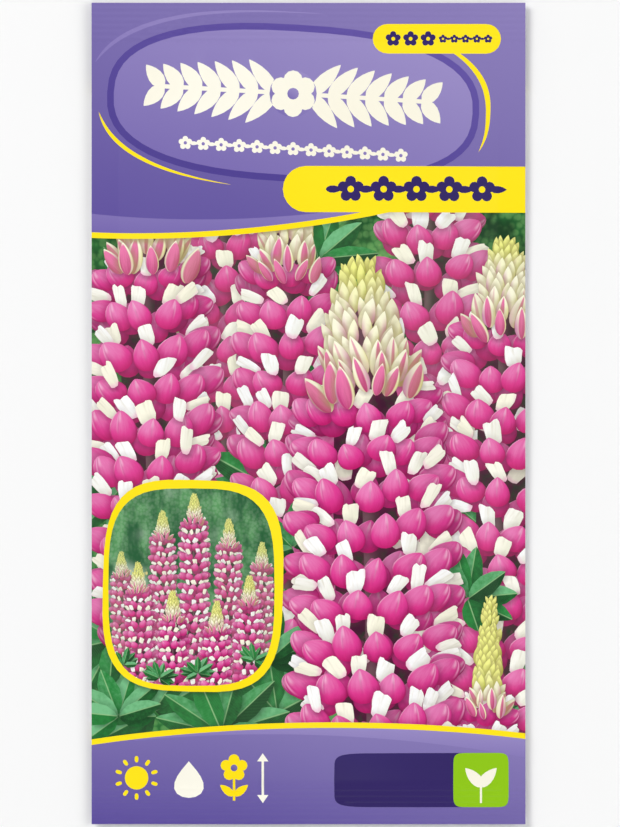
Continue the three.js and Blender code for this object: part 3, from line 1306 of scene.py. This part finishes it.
def budInk():
    # the tint is how ripe a bud is: green, then cream, then open with a slit of pink
    finish, p = petalPaper("budInk")
    u, v, roll, ripe, tone = p.u, p.v, p.roll, p.tint, budTones
    width = girth(v, **almond)
    lit = (u * p.lx + v * p.ly) * 0.35 + (1.05 - u * u * 0.9).atLeast(0.05).root() * 0.7
    older = finish.coats(
        finish.mix(lit.between(0.15, 0.9), *tone["older"]),
        (v.between(-0.1, -0.9), tone["blush"]),
    )
    way = roll.between(0.3, 0.7) * 2 - 1
    flush = (u / width * way).between(-0.2, 0.9) * v.between(0.9, -0.4) * ripe.between(0.04, 0.26)
    slit = (u - p.seam * 0.2).size() / width - (ripe - 0.3) * 1.2
    inside = slit.between(0.14, -0.06) * ripe.between(0.32, 0.5) * v.between(0.99, 0.75)
    petalLit = lit + streaked(finish, u / width * 4, v * 0.9, roll) * 0.6 + (ripe - 0.8) * 0.4
    p.shade = p.shade * p.shade
    return dimmed(finish, p, finish.coats(
        finish.mix(lit.between(0.2, 0.9), *tone["young"]),
        (ripe.between(0.0, 0.28), older),
        (v.between(-0.55, -1.0), tone["foot"]),
        (flush, tone["flush"]),
        (inside * 0.92, finish.mix(petalLit.between(0.25, 1.0), *tone["petal"])),
        ((u.size() / width).between(0.82, 1.0), tone["edge"]),
    ), tone["shadow"])


leafTones = {
    "deep": "#0e3d1c", "body": "#23823a", "light": "#79c08a", "vein": ("#5fae63", 0.22),
    "rib": ("#a9d59a", 0.75), "shadow": "#0b2a14",
}


def leafInk():
    finish, p = petalPaper("leafInk")
    u, v, roll, tone = p.u, p.v, p.roll, leafTones
    off = u - p.seam * 0.2
    grain = finish.join(u * 2 + roll * 13, v * 4 + roll * 5, roll)
    lit = (p.tint - 0.5) * 0.7 + (off.between(-0.12, 0.12) - 0.5) * (p.lx * 0.9)
    lit = lit + (finish.noise(1.4, 3.0, at=grain) - 0.5) * 0.5 + p.ly * 0.12 + 0.45
    banded = {"wave_type": "BANDS", "bands_direction": "Y"}
    slanting = {"Vector": finish.join(0.0, v * 3.4 - u.size() * 1.1, 0.0), "Scale": 1.6}
    veins = Number(finish, finish.node("ShaderNodeTexWave", banded, slanting, 1))
    return dimmed(finish, p, finish.coats(
        finish.mix(lit.between(0.0, 0.6), tone["deep"], tone["body"]),
        (lit.between(0.5, 1.1), tone["light"]),
        (veins.between(0.8, 1.0), tone["vein"]),
        (off.line(13), tone["rib"]),
        (v.between(-0.6, -1.0) * 0.45, tone["shadow"]),
    ), tone["shadow"])


stemTones = ("#38272b", "#6b5257")
hollowTones = {"deep": "#3a0b29", "green": "#1c3320", "petal": ("#9b1f66", 0.7)}


def stemInk():
    finish, p = petalPaper("stemInk")
    return dimmed(finish, p, finish.mix(p.u.between(1.0, -0.7), *stemTones))


def hollowInk():
    finish, p = petalPaper("hollowInk")
    clump, tone = finish.noise(420, 3.0), hollowTones
    return dimmed(finish, p, finish.coats(
        finish.mix(clump.between(0.4, 0.62), tone["deep"], tone["green"]),
        (clump.between(0.6, 0.75), tone["petal"]),
    ))


grounds = {  # leaves too far off to be sharp; the lower upright is, the longer they are
    "ground": {
        "light": "#7fb46a", "middle": "#2e7a3a", "deep": "#123a1c",
        "bloom": ("#9fc06a", 0.75), "blur": 1.0, "upright": 1.0, "dabbed": 1.0,
    },
    "meadow": {
        "light": "#cfe0cf", "middle": "#5f9c62", "deep": "#1f5a33",
        "bloom": ("#ecd98c", 0.75), "blur": 0.5, "upright": 0.4, "dabbed": 0.3,
    },
}


def groundInk(name):
    finish, tone = coatedPaper(name + "Ink"), grounds[name]
    blur, dabbed = tone["blur"], tone["dabbed"]
    x, y, z = finish.parts(finish.place())
    near = finish.noise(130 / blur, 3.0, 0.6, finish.join(x, y * tone["upright"], z))
    wide = finish.noise(38 / blur)
    dim = finish.noise(75 / blur)
    cells = {"Vector": finish.place(), "Scale": 800 / blur}
    dabs = Number(finish, finish.node("ShaderNodeTexVoronoi", {}, cells))
    blooms = finish.noise(330 / blur, 1.0) * wide.between(0.4, 0.6)
    return finish.paint(finish.coats(
        finish.mix(near.between(0.35, 0.65), tone["deep"], tone["middle"]),
        (wide.between(0.5, 0.75) * 0.8, tone["light"]),
        (dim.between(0.5, 0.3) * 0.6, tone["deep"]),
        (dabs.between(0.75, 0.3) * near.between(0.3, 0.6) * (0.35 * dabbed), tone["light"]),
        (dabs.between(0.5, 0.9) * (0.4 * dabbed), tone["deep"]),
        (blooms.between(0.6, 0.66), tone["bloom"]),
    ))


flatInks = {  # two tones, and how far they fade into each other up and to the right
    "violet": ("#594a99", "#8a7db7", 0.5),
    "deepViolet": ("#47388a", "#6353a3", 0.5),
    "lilac": ("#7364ab", "#9b8ec5", 0.5),
    "yellow": ("#ffe100", "#ffe71c", 0.0),
    "cream": ("#fbf8ea", "#f6f1dc", 0.0),
    "green": ("#86bf00", "#93c914", 0.0),
    "indigo": ("#2b1d57", "#33246a", 0.0),
    "pale": ("#e4dff0", "#ebe7f5", 0.0),
    "white": ("#f7f7f5", "#fcfcfa", 0.0),
}


def flatInk(name):
    # an even ink with the slight drift of a printed area
    first, second, fade = flatInks[name]
    finish = coatedPaper(name + "Ink")
    drift = finish.noise(16.0, 1.0)
    share = drift.between(0.3, 0.7)
    if fade:
        u, v, _ = finish.attribute("petalPlace")
        share = ((drift - 0.5) * 0.3 + (u * 0.4 + v * 0.6) * fade + 0.5).clamped()
    return finish.paint(finish.mix(share, first, second))


def paperInk():
    finish = newFinish("insidePaper", Roughness=0.62)
    fibres = finish.noise(900, 4.0, 0.7)
    finish.bump(fibres, 0.2, 0.00003)
    return finish.paint(finish.mix(fibres.between(0.3, 0.7), "#e9e7e2", "#f7f6f2"))


inkMaterials = {
    "hollow": hollowInk(), "stem": stemInk(), "leaf": leafInk(), "wing": wingInk(),
    "banner": bannerInk(), "bud": budInk(), "paper": paperInk(),
}
inkMaterials.update((name, groundInk(name)) for name in grounds)
inkMaterials.update((name, flatInk(name)) for name in flatInks)

front = makeWeb("printedFront", drawFront(), frontHeight, 1, pitches["front"])
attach(front, "root")
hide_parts("front_web")

back = makeWeb("printedBack", drawBack(), backHeight, -1, pitches["back"])
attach(back, "root")
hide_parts("back_web")

seedTones = {"brown": "#6a4c31", "pale": "#8b6b49", "specks": "#2e1f14"}


def seedInk():
    # the seeds keep their solids and get a mottled coat
    finish, tone = newFinish("seedCoat", Roughness=0.42, Coat_Weight=0.2), seedTones
    fine = finish.noise(1400, 4.0, 0.65)
    broad = finish.noise(420)
    return finish.paint(finish.coats(
        finish.mix(broad.between(0.35, 0.65), tone["brown"], tone["pale"]),
        (fine.between(0.5, 0.62), tone["specks"]),
    ))


seedCoat = seedInk()
for name in seedNames:
    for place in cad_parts[name].material_slots:
        place.material = seedCoat
print("seeds dressed", len(seedNames))

stage = {
    "floor": ("#f4f4f4", "#f6f6f6"), "floorHalf": 6.0, "floorDrop": 0.0001,
    "walls": 0.8, "wallTones": ("#ffffff", "#383838"),
    "frameHeight": 827, "packetPixels": 821, "offCentre": 1.5, "lens": 150.0, "sensor": 36.0,
}
lamps = {  # place, size and power
    "key": ((-0.95, 0.75, 1.25), (0.8, 0.8), 18.0),
    "fill": ((1.1, 0.1, 1.1), (1.0, 1.0), 10.5),
    "foot": ((-0.1, -1.2, 1.1), (1.0, 0.8), 7.4),
}


def makeFloor():
    shell = bmesh.new()
    bmesh.ops.create_grid(shell, x_segments=1, y_segments=1, size=stage["floorHalf"])
    mesh = bpy.data.meshes.new("floor")
    shell.to_mesh(mesh)
    shell.free()
    finish = newFinish("floorFinish", Roughness=0.7)
    drift = finish.noise(3.0, 1.0)
    mesh.materials.append(finish.paint(finish.mix(drift, *stage["floor"])))
    floor = placed("floor", mesh, (0, 0, -stage["floorDrop"]))


def makeLamp(name, place, size, power):
    data = bpy.data.lights.new(name, "AREA")
    data.shape = "RECTANGLE"
    data.size, data.size_y = size
    data.energy = power
    lamp = placed(name, data, place)
    lamp.rotation_euler = (-Vector(place)).to_track_quat("-Z", "Y").to_euler()


def makeCamera():
    data = bpy.data.cameras.new("camera")
    data.lens = stage["lens"]
    data.sensor_width = stage["sensor"]
    tall = 2 * halfHeight * mm * stage["frameHeight"] / stage["packetPixels"]
    distance = tall * stage["lens"] / stage["sensor"]
    across = stage["offCentre"] * tall / stage["frameHeight"]
    place = (across, 0, packet["sealLevel"] * mm + distance)
    bpy.context.scene.camera = placed("camera", data, place)


def makeWorld():
    # pale walls all round and a dim ceiling, so that flat gloss stays clear from above
    bpy.context.scene.world = bpy.data.worlds.new("studio")
    finish = Finish(bpy.context.scene.world, "Background", Strength=stage["walls"])
    upward = finish.parts(finish.node("ShaderNodeTexCoord", {}, [], 0))[2]
    finish.paint(finish.mix(upward.between(0.15, 0.75), *stage["wallTones"]), "Color")


makeFloor()
for name, (place, size, power) in lamps.items():
    makeLamp(name, place, size, power)
makeCamera()
makeWorld()
bpy.context.scene.view_settings.view_transform = "Standard"
print("stage done")
